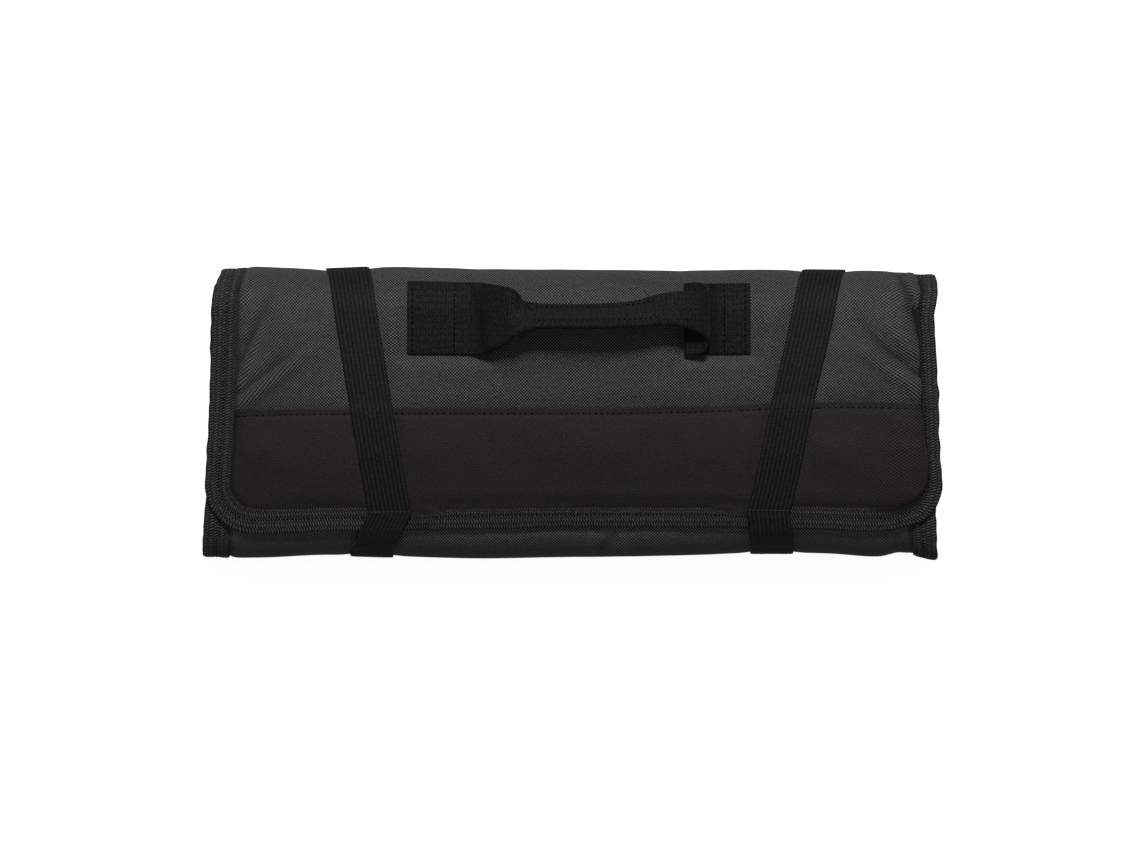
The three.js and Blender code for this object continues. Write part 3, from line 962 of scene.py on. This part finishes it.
def buildElasticStrap(side, name, node):
    leave = frontRadius + strapSeat
    low = sectionAt(0)[1] + strapSeatOnBand
    reach = math.hypot(flapEndY - 0.6 - frontY, low - frontZ)
    lean = math.atan2(frontY - flapEndY + 0.6, low - frontZ)
    touchRun = frontTop - (lean + math.acos(min(1.0, leave / reach))) * frontRadius
    columns = rib["count"] * rib["columns"]
    sewnX, touchX = strapX(side, sewnRun), strapX(side, touchRun)
    stations = []
    for s in spread(sewnRun - elastic["tuck"], touchRun, elastic["step"]) + [touchRun]:
        over = 1 - ease(s, band["seamRun"] - 1, band["seamRun"] + 5)
        stations.append({"s": s, "seat": lerp(strapSeat, strapSeatOnBand, over), "x": strapX(side, s)})
    slant, end = bridge["slant"], bridge["end"]
    stations += [{"bridge": share, "x": lerp(touchX, sewnX, slant * share)} for share in bridge["shares"]]
    for s in [end] + bridge["overTape"]:
        seat = strapSeatOnBand + elastic["wall"] * ease(s, 0, 7) - 0.35 * bell(s - 8.4, 1)
        x = lerp(touchX, sewnX, min(1.0, lerp(slant, 1, (s - end) / (sewnRun - end))))
        stations.append({"s": s, "seat": seat, "x": x})

    def surface(station, x, extra):
        if "bridge" in station:
            a = place(x, touchRun, strapSeat + extra, False)
            b = place(x, end, strapSeatOnBand + extra, False)
            bow = bridge["bow"] * math.sin(math.pi * station["bridge"]) / 1000
            return a.lerp(b, station["bridge"]) + Vector((0, -bow, bow * 0.6))
        s = station["s"]
        swell = elastic["follow"] * swellAt(x, max(s, sewnRun)) if s < backUnder else 0.0
        return place(x, s, station["seat"] + extra + max(0.0, swell))

    def put(column, row):
        station = stations[row]
        off = column / columns - 0.5
        height = rib["height"] * (bridge["flatRibs"] if "bridge" in station else 1)
        ribbed = height * math.sin(math.pi * column / rib["columns"]) ** 2
        face = elastic["wall"] / 2 + ribbed - elastic["edgeFall"] * (2 * abs(off)) ** 8
        return surface(station, station["x"] + off * elastic["width"], face)

    travel = [0.0]
    for row in range(1, len(stations)):
        travel.append(travel[-1] + (put(columns // 2, row) - put(columns // 2, row - 1)).length)

    def flatPlace(column, row):
        return (column / columns - 0.5) * elastic["width"] / 1000, travel[row]

    # The free stretch in front of the flap is drawn out. Painted light: it and the last of the strap on the
    # roll's front face away from the key light, and are painted lighter
    def lightShare(column, row):
        station = stations[row]
        free = 1 if "bridge" in station else ease(station["s"], touchRun - 22, touchRun - 8)
        return 1 + bridge["paintedLight"] * free

    bm = clothGrid(columns, len(stations) - 1, put, flatPlace, None, lightShare)
    piece = finishPiece(name, bm, [node])
    addWall(piece, elastic["cloth"])
    return piece


# Carry handle: one length of webbing. Its line has x, lift, shift towards the back, the place across the
# webbing of the line where it is folded under, its tilt in degrees, and how wide it shows.
webbing = {
    "width": 38.5,
    "wall": 1.5,
    "middleY": 49.75,
    "foldArc": 3.6,
    "cup": 0.0029,  # how much the doubled grip is rounded
    "freeLift": 7,  # from here up it no longer follows the bag
    "step": 1.4,
    "columns": 40,
    "shadeBend": {"x": -47.5, "lean": 0.13, "wide": 2.4, "share": 0.5},
    "shadeFold": {"x": 74.5, "wide": 3.4, "share": 0.6},
}
handleTable = table(
    "x lift shift crease tilt wide",
    (-87.5, 0, 0, -20, 0, 1),
    (-76, 0, 0, -20, 0, 1),
    (-66, 0, 0, -20, 0, 1),
    (-57, 0.3, 0, -20, 0, 1),
    (-52, 1.4, 0, -19.5, 0, 1),
    (-48, 5.0, 0, -18, 0, 1),
    (-43, 9.6, -0.5, -15.5, 0, 0.97),
    (-37, 13.2, -1.0, -12, -3, 0.94),
    (-32.5, 15.4, -1.8, -8.5, -8, 0.92),
    (-30, 16.6, -3.0, -6, -28, 0.82),
    (-25, 18.2, -3.1, -2.6, -36, 0.79),
    (-18, 19.8, -3.1, -0.4, -39, 0.77),
    (-8, 21.2, -3.0, 0, -40, 0.76),
    (18, 22.4, -2.9, 0, -39, 0.77),
    (36, 20.8, -2.4, 0, -33, 0.79),
    (46, 19.0, -1.6, 0, -22, 0.83),
    (56, 16.8, -1.3, -1, -13, 0.85),
    (63, 14.8, -1.6, -2.4, -8, 0.86),
    (68, 12.8, -2.0, -4.5, -5, 0.87),
    (71, 10.6, -2.0, -7.5, -2, 0.89),
    (72, 8.6, -1.4, -11.5, 0, 0.92),
    (70.6, 6.8, -0.4, -15.5, 0, 0.96),
    (67.4, 6.0, 0.2, -18.5, 0, 1),
    (63.4, 5.1, 0.3, -20, 0, 1),
    (60.3, 3.9, 0.2, -20, 0, 1),
    (59.4, 2.4, 0, -20, 0, 1),
    (60.6, 1.0, 0, -20, 0, 1),
    (64.5, 0.1, 0, -20, 0, 1),
    (74, 0, 0, -20, 0, 1),
    (84, 0, 0, -20, 0, 1),
    (94.5, 0, 0, -20, 0, 1),
)
handleRun = 0.0
for before, row in zip([handleTable[0]] + handleTable, handleTable):
    handleRun += math.hypot(row["x"] - before["x"], row["lift"] - before["lift"])
    row["run"] = handleRun


# Section of the webbing: what lies beyond the crease is folded flat under the rest
def webPoint(t, crease):
    beyond = crease - t
    if beyond <= 0:
        return t, 0.0
    radius = webbing["foldArc"] / math.pi
    turn = min(math.pi, beyond / radius)
    across = crease - radius * math.sin(turn) + max(0.0, beyond - webbing["foldArc"])
    return across, radius * (math.cos(turn) - 1)


def buildCarryHandle():
    runs = spread(0, handleRun, webbing["step"]) + [handleRun]
    columns = webbing["columns"]
    sewnLift = halfWall + 0.15 + webbing["wall"] / 2
    middleRun = webbing["middleY"] - flapEndY

    def lineAt(run):
        return {key: lookUp(handleTable, "run", run, key) for key in handleTable[0] if key != "run"}

    def put(column, row):
        at, before, after = [lineAt(runs[row] + step) for step in (0, -0.8, 0.8)]
        dx, dz = after["x"] - before["x"], after["lift"] - before["lift"]
        length = math.hypot(dx, dz)
        upX, upZ = -dz / length, dx / length
        t = (column / columns - 0.5) * webbing["width"]
        b, h = webPoint(t * at["wide"], min(0.0, at["crease"]))
        if t > 0:
            h -= webbing["cup"] * t * t * ease(at["crease"], -20, 0)
        tilt = math.radians(at["tilt"])
        b, h = b * math.cos(tilt) - h * math.sin(tilt), b * math.sin(tilt) + h * math.cos(tilt)
        x = at["x"] + upX * h
        sewn = place(x, middleRun + b + at["shift"], sewnLift, False)
        free = place(x, middleRun, sewnLift, False) + Vector((0, b + at["shift"], upZ * h)) / 1000
        point = sewn.lerp(free, ease(at["lift"], 0, webbing["freeLift"]))
        point.z += at["lift"] / 1000
        y = point.y * 1000 - roll["shiftY"]
        skinRun = y - flapEndY
        if y > backY:
            skinRun = backTop + backRadius * math.asin(min(1.0, (y - backY) / backRadius))
        skin = place(x, skinRun, halfWall + 0.8, False)
        if at["lift"] > 0.5 and point.z < skin.z:
            point.z = skin.z
        return point

    def flatPlace(column, row):
        return (column / columns - 0.5) * webbing["width"] / 1000, runs[row] / 1000

    # The webbing is in its own shade in the bend at the left and beside the fold at the right
    def lightShare(column, row):
        at = lineAt(runs[row])
        t = (column / columns - 0.5) * webbing["width"]
        turn, fold = webbing["shadeBend"], webbing["shadeFold"]
        light = 1 - turn["share"] * bell(at["x"] - turn["x"] + turn["lean"] * t, turn["wide"])
        folded = fold["share"] * bell(at["x"] - fold["x"], fold["wide"])
        return light * (1 - folded * (1 - ease(at["lift"], 0.5, 2)))

    bm = clothGrid(columns, len(runs) - 1, put, flatPlace, None, lightShare)
    piece = finishPiece("carryHandle", bm, ["carry_handle"])
    addWall(piece, webbing["wall"])
    addModifier(piece, "SUBSURF", levels=1, render_levels=1)
    return piece, buildHandleStitches(put, runs, lineAt)


# Stitches across both pads and along the doubled grip, and a few loose thread ends
handleSeams = {
    "pads": [-84.3, -62, 80.5, 91.2],
    "grip": [2.6, 15.5],
    "gripFrom": -22,
    "gripTo": 45,
    "ends": table(
        "x t turn",
        (43, 18.6, 128), (41, 18.8, 100), (46, 2, -80), (-27, 16, 20), (-25, 14, -35), (-2, 18.8, 60),
    ),
}


def buildHandleStitches(put, runs, lineAt):
    stitches = bmesh.new()
    lines = [lineAt(run) for run in runs]
    half = webbing["wall"] / 2 + thread["lift"]

    def frameAt(row, t):
        column = (t / webbing["width"] + 0.5) * webbing["columns"]
        point, ahead, beside = put(column, row), put(column, row + 1), put(column + 1, row)
        up = (ahead - point).cross(beside - point).normalized()
        return point + up * half / 1000, ahead - point, beside - point, up

    # The S-fold passes the same x more than once, so a row is also chosen by how high it lies
    def rowAt(x, away):
        return min(range(len(runs)), key=lambda i: abs(lines[i]["x"] - x) + 9 * away(lines[i]["lift"]))

    for x in handleSeams["pads"]:
        row = rowAt(x, lambda lift: lift)
        for t in spread(-17.2, 17.2, thread["padStep"]) + [17.2]:
            point, ahead, beside, up = frameAt(row, t)
            addStitch(stitches, point, beside, up, "pad")
    for row in range(0, len(runs) - 1, 2):
        line = lines[row]
        if line["lift"] > 12 and handleSeams["gripFrom"] < line["x"] < handleSeams["gripTo"]:
            for t in handleSeams["grip"]:
                point, ahead, beside, up = frameAt(row, t)
                addStitch(stitches, point, ahead, up, "grip")
    for end in handleSeams["ends"]:
        row = rowAt(end["x"], lambda lift: lift < 12)
        point, ahead, beside, up = frameAt(row, end["t"])
        turn = math.radians(end["turn"])
        reach = ahead.normalized() * math.cos(turn) + beside.normalized() * math.sin(turn) + up * 0.15
        addStitch(stitches, point + reach * thread["end"][0] / 2600, reach, up, "end")
    return finishPiece("handleStitches", stitches)


print("cloth simulation")
simulated = simulatePadding()
print("sheet and band")
rollSheet = buildRollSheet()
flapBand = buildFlapBand()
seamStitches = buildSeamStitches()
print("binding")
edgeBinding, bindingStitches = buildEdgeBinding()
print("straps and handle")
strapLeft = buildElasticStrap("left", "elasticStrapLeft", "elastic_strap_left")
strapRight = buildElasticStrap("right", "elasticStrapRight", "elastic_strap_right")
carryHandle, handleStitches = buildCarryHandle()


# Colours are sRGB hex values
def linear(hexColour):
    values = [int(hexColour[i : i + 2], 16) / 255 for i in (1, 3, 5)]
    return [v / 12.92 if v <= 0.04045 else ((v + 0.055) / 1.055) ** 2.4 for v in values] + [1.0]


def newMaterial(name):
    material = bpy.data.materials.new(name)
    material.use_nodes = True
    material.node_tree.nodes.clear()
    return material, material.node_tree


# Adds a node with its settings; an input that is a node or a socket is linked, and any other is set
def addNode(tree, kind, inputs=None, **settings):
    node = tree.nodes.new("ShaderNode" + kind)
    for key, value in settings.items():
        setattr(node, key, value)
    for key, value in (inputs or {}).items():
        if isinstance(value, bpy.types.Node):
            value = next(socket for socket in value.outputs if socket.enabled)
        if isinstance(value, bpy.types.NodeSocket):
            tree.links.new(value, node.inputs[key])
        else:
            node.inputs[key].default_value = value
    return node


# Sine ridges of a pitch in millimetres, along a length in metres
def ridges(tree, length, pitchMm, phase=0.0):
    scale = 2000 * math.pi / pitchMm
    turns = addNode(tree, "Math", {0: length, 1: scale, 2: phase}, operation="MULTIPLY_ADD")
    return addNode(tree, "Math", {0: turns}, operation="SINE")


# Scales of the patterns that all the cloth has: lint and slubs of the yarn, and larger uneven patches
clothNoise = {"lint": 900.0, "slub": 560.0, "patch": 24.0}


# Finishes a woven material from its weave, a value between -1 and 1
def weaveCloth(tree, uv, weave, look):
    mask = addNode(tree, "MapRange", {0: weave, 1: -look["sharp"], 2: look["sharp"]})
    lint = addNode(tree, "TexNoise", {"Vector": uv, "Scale": clothNoise["lint"], "Detail": 2.0})
    patchLook = {"Scale": clothNoise["patch"], "Detail": 3.0, "Roughness": 0.6}
    patch = addNode(tree, "TexNoise", {"Vector": uv, **patchLook})
    tint = addNode(tree, "MapRange", {0: patch, 3: 1 - look["patch"], 4: 1 + look["patch"]})
    slub = addNode(tree, "TexNoise", {"Vector": uv, "Scale": clothNoise["slub"], "Detail": 1.0})
    fleck = addNode(tree, "MapRange", {0: slub, 1: 0.3, 2: 0.7, 3: 1 - look["fleck"], 4: 1 + look["fleck"]})
    light = addNode(tree, "Attribute", attribute_name="light")
    flecked = addNode(tree, "Math", {0: tint, 1: fleck}, operation="MULTIPLY")
    shaded = addNode(tree, "Math", {0: flecked, 1: light.outputs["Fac"]}, operation="MULTIPLY")
    tones = {"Factor": mask, 6: linear(look["low"]), 7: linear(look["high"])}
    yarn = addNode(tree, "Mix", tones, data_type="RGBA")
    lit = {"Factor": 1.0, 6: yarn.outputs[2], 7: shaded}
    tone = addNode(tree, "Mix", lit, data_type="RGBA", blend_type="MULTIPLY")
    height = addNode(tree, "Math", {0: lint, 1: look["lint"], 2: mask}, operation="MULTIPLY_ADD")
    bump = addNode(tree, "Bump", {"Height": height, "Distance": look["depth"] / 1000})
    names = {"Roughness": "roughness", "Specular IOR Level": "specular", "Sheen Weight": "sheen"}
    finish = {socket: look[name] for socket, name in names.items()}
    shader = addNode(tree, "BsdfPrincipled", {"Base Color": tone.outputs[2], "Normal": bump, **finish})
    addNode(tree, "OutputMaterial", {"Surface": shader})


def clothMaterial(name):
    material, tree = newMaterial(name)
    uv = addNode(tree, "UVMap", uv_map="cloth")
    split = addNode(tree, "SeparateXYZ", {0: uv})
    return material, tree, uv, split.outputs["X"], split.outputs["Y"]


print("materials")
# Coated polyester in a dobby weave: a net of light threads with a dark pit in each of its diamonds, at about
# the pitch of the real one
charcoal, tree, uv, u, v = clothMaterial("woven polyester dobby, charcoal")
netPitch = 1.65
netU, netV = [ridges(tree, length, netPitch, math.pi / 2) for length in (u, v)]
weave = addNode(tree, "Math", {0: netU, 1: netV}, operation="MULTIPLY")
charcoalLook = {
    "low": "#040404", "high": "#5c5c5c", "sharp": 0.3, "patch": 0.14, "fleck": 0.15, "lint": 0.3,
    "depth": 0.22, "roughness": 0.62, "specular": 0.25, "sheen": 0.08,
}
weaveCloth(tree, uv, weave, charcoalLook)
rollSheet.data.materials.append(charcoal)

# Uncoated polyester twill: matt brown-black with a faint diagonal, drawn coarser than the real one so that
# it shows
twill, tree, uv, u, v = clothMaterial("woven polyester twill, black")
diagonal = addNode(tree, "Math", {0: u, 1: v}, operation="ADD")
counter = addNode(tree, "Math", {0: u, 1: v}, operation="SUBTRACT")
twillYarn = {"pitch": 1.8, "counter": 1.6, "share": 0.6}
line, cross = ridges(tree, diagonal, twillYarn["pitch"]), ridges(tree, counter, twillYarn["counter"])
weave = addNode(tree, "Math", {0: line, 1: twillYarn["share"], 2: cross}, operation="MULTIPLY_ADD")
twillLook = {
    "low": "#181418", "high": "#3a3137", "sharp": 0.9, "patch": 0.2, "fleck": 0.14, "lint": 0.7,
    "depth": 0.14, "roughness": 0.75, "specular": 0.15, "sheen": 0.08,
}
weaveCloth(tree, uv, weave, twillLook)
flapBand.data.materials.append(twill)

# Polyester binding tape: matt cross ribs of short yarns in columns, each about a third of a rib off the
# next. The real ribs are finer, and are drawn coarse enough to show.
ribbed, tree, uv, u, v = clothMaterial("polyester binding tape, ribbed")
yarn = {"rib": 1.45, "column": 2.7, "offset": 0.7, "wobble": 0.8, "slant": 0.3, "gap": 0.4}
columnShare = addNode(tree, "Math", {0: v, 1: 1000 / yarn["column"]}, operation="MULTIPLY")
columnNumber = addNode(tree, "Math", {0: columnShare}, operation="FLOOR")
wobble = addNode(tree, "TexNoise", {"Vector": uv, "Scale": 160.0, "Detail": 1.0})
shift = addNode(tree, "Math", {0: wobble, 1: 2 * math.pi * yarn["wobble"]}, operation="MULTIPLY")
stagger = math.pi * yarn["offset"]
phase = addNode(tree, "Math", {0: columnNumber, 1: stagger, 2: shift}, operation="MULTIPLY_ADD")
gap = ridges(tree, v, yarn["column"], -math.pi / 2)
slanted = addNode(tree, "Math", {0: v, 1: yarn["slant"], 2: u}, operation="MULTIPLY_ADD")
ribRow = ridges(tree, slanted, yarn["rib"], phase)
weave = addNode(tree, "Math", {0: gap, 1: yarn["gap"], 2: ribRow}, operation="MULTIPLY_ADD")
tapeLook = {
    "low": "#040304", "high": "#474447", "sharp": 0.85, "patch": 0.35, "fleck": 0.3, "lint": 0.3,
    "depth": 0.35, "roughness": 0.65, "specular": 0.2, "sheen": 0.08,
}
weaveCloth(tree, uv, weave, tapeLook)
edgeBinding.data.materials.append(ribbed)

# Rubber-cored braid: dull black long ribs with a cross weave, drawn a little coarse so that it shows
braid, tree, uv, u, v = clothMaterial("braided elastic, black")
braidYarn = {"cross": 1.3, "crossShare": 0.35, "tightFrom": -0.068, "tightTo": -0.06, "tightShare": 0.25}
longRib = ridges(tree, u, elastic["width"] / rib["count"], -math.pi / 2)
where = addNode(tree, "SeparateXYZ", {0: addNode(tree, "TexCoord").outputs["Object"]})
# Past the flap's edge the braid is drawn so tight that its ribs are nearly flat
stretch = {1: braidYarn["tightFrom"], 2: braidYarn["tightTo"], 3: braidYarn["tightShare"], 4: 1.0}
tight = addNode(tree, "MapRange", {0: where.outputs["Y"], **stretch})
ribbing = addNode(tree, "Math", {0: longRib, 1: tight}, operation="MULTIPLY")
cross = ridges(tree, v, braidYarn["cross"])
weave = addNode(tree, "Math", {0: cross, 1: braidYarn["crossShare"], 2: ribbing}, operation="MULTIPLY_ADD")
braidLook = {
    "low": "#0f0e0f", "high": "#262426", "sharp": 1.2, "patch": 0.14, "fleck": 0.3, "lint": 0.8,
    "depth": 0.18, "roughness": 0.6, "specular": 0.12, "sheen": 0.05,
}
weaveCloth(tree, uv, weave, braidLook)
strapLeft.data.materials.append(braid)
strapRight.data.materials.append(braid)

# Polypropylene webbing: a slight gloss on fine cross ribs, drawn a little coarse so that they show, and rows
# of dark gaps along its length
woven, tree, uv, u, v = clothMaterial("polypropylene webbing, black")
webYarn = {"rib": 1.5, "row": 3.3, "gap": 2.2, "ribShare": 0.45, "pitShare": 2.2, "worn": 420.0}
speckle = addNode(tree, "TexNoise", {"Vector": uv, "Scale": webYarn["worn"], "Detail": 2.0})
rowGap = addNode(tree, "MapRange", {0: ridges(tree, u, webYarn["row"]), 1: 0.6, 2: 1.0})
dotGap = addNode(tree, "MapRange", {0: ridges(tree, v, webYarn["gap"]), 1: -0.2, 2: 0.6})
pits = addNode(tree, "Math", {0: rowGap, 1: dotGap}, operation="MULTIPLY")
worn = addNode(tree, "Math", {0: pits, 1: speckle}, operation="MULTIPLY")
crossRib = ridges(tree, v, webYarn["rib"])
ribs = addNode(tree, "Math", {0: crossRib, 1: webYarn["ribShare"], 2: speckle}, operation="MULTIPLY_ADD")
weave = addNode(tree, "Math", {0: worn, 1: -webYarn["pitShare"], 2: ribs}, operation="MULTIPLY_ADD")
webLook = {
    "low": "#050406", "high": "#201b1f", "sharp": 0.75, "patch": 0.2, "fleck": 0.45, "lint": 0.8,
    "depth": 0.2, "roughness": 0.7, "specular": 0.12, "sheen": 0.05,
}
weaveCloth(tree, uv, weave, webLook)
carryHandle.data.materials.append(woven)

# Bonded polyester thread: black with a slight gloss, twisted
twisted, tree = newMaterial("bonded polyester thread, black")
along = addNode(tree, "TexCoord")
twist = addNode(tree, "TexNoise", {"Vector": along.outputs["Object"], "Scale": 900.0, "Detail": 1.0})
threadTones = {"Factor": twist, 6: linear("#020202"), 7: linear("#0e0d0e")}
threadTone = addNode(tree, "Mix", threadTones, data_type="RGBA")
threadBump = addNode(tree, "Bump", {"Height": twist, "Distance": 0.0002})
threadLook = {"Base Color": threadTone.outputs[2], "Normal": threadBump, "Roughness": 0.65}
shader = addNode(tree, "BsdfPrincipled", {**threadLook, "Specular IOR Level": 0.08})
addNode(tree, "OutputMaterial", {"Surface": shader})
for piece in (seamStitches, bindingStitches, handleStitches):
    piece.data.materials.append(twisted)

# White paper, lit from below as product photographs are, a soft light from the top of the picture and a
# weak one overhead
print("stage, lights and camera")
stage = {"size": 3, "world": 0.14, "paper": "#f7f7f7", "glow": 0.85}
lights = {
    "key": {"at": (0.05, 1.25, 1.55), "power": 24.5, "size": 0.42},
    "overhead": {"at": (0, -0.9, 2.8), "power": 4, "size": 1.6},
    "lowFront": {"at": (0, -1.6, 0.3), "power": 0.9, "size": 1.2},
    "lowBack": {"at": (0, 1.6, 0.3), "power": 1, "size": 1.2},
}
bm = bmesh.new()
bmesh.ops.create_grid(bm, x_segments=1, y_segments=1, size=stage["size"])
floorMesh = bpy.data.meshes.new("floor")
bm.to_mesh(floorMesh)
bm.free()
floor = bpy.data.objects.new("floor", floorMesh)
bpy.context.scene.collection.objects.link(floor)
paper, tree = newMaterial("white paper backdrop")
paperLook = {"Base Color": linear(stage["paper"]), "Roughness": 0.9, "Emission Color": (1, 1, 1, 1)}
shader = addNode(tree, "BsdfPrincipled", {**paperLook, "Emission Strength": stage["glow"]})
addNode(tree, "OutputMaterial", {"Surface": shader})
floor.data.materials.append(paper)
# The paper shows white but throws little light up at the bag
floor.visible_diffuse = floor.visible_glossy = False
for name, row in lights.items():
    data = bpy.data.lights.new(name, "AREA")
    data.energy, data.size = row["power"], row["size"]
    light = bpy.data.objects.new(name, data)
    light.location = row["at"]
    light.rotation_euler = (-Vector(row["at"])).to_track_quat("-Z", "Y").to_euler()
    bpy.context.scene.collection.objects.link(light)
world = bpy.data.worlds.new("studio")
world.use_nodes = True
background = world.node_tree.nodes["Background"]
background.inputs["Color"].default_value = (1, 1, 1, 1)
background.inputs["Strength"].default_value = stage["world"]
bpy.context.scene.world = world
bpy.context.scene.view_settings.view_transform = "Standard"

cameraData = bpy.data.cameras.new("camera")
camera = bpy.data.objects.new("camera", cameraData)
bpy.context.scene.collection.objects.link(camera)
camera.location = (shot["lookX"] / 1000, shot["lookY"] / 1000, shot["cameraHeight"] / 1000)
cameraData.sensor_width = shot["sensor"]
seenWidth = shot["photoWidth"] * shot["mmPerPixel"]
cameraData.lens = shot["sensor"] * (shot["cameraHeight"] - shot["scalePlane"]) / seenWidth
bpy.context.scene.camera = camera
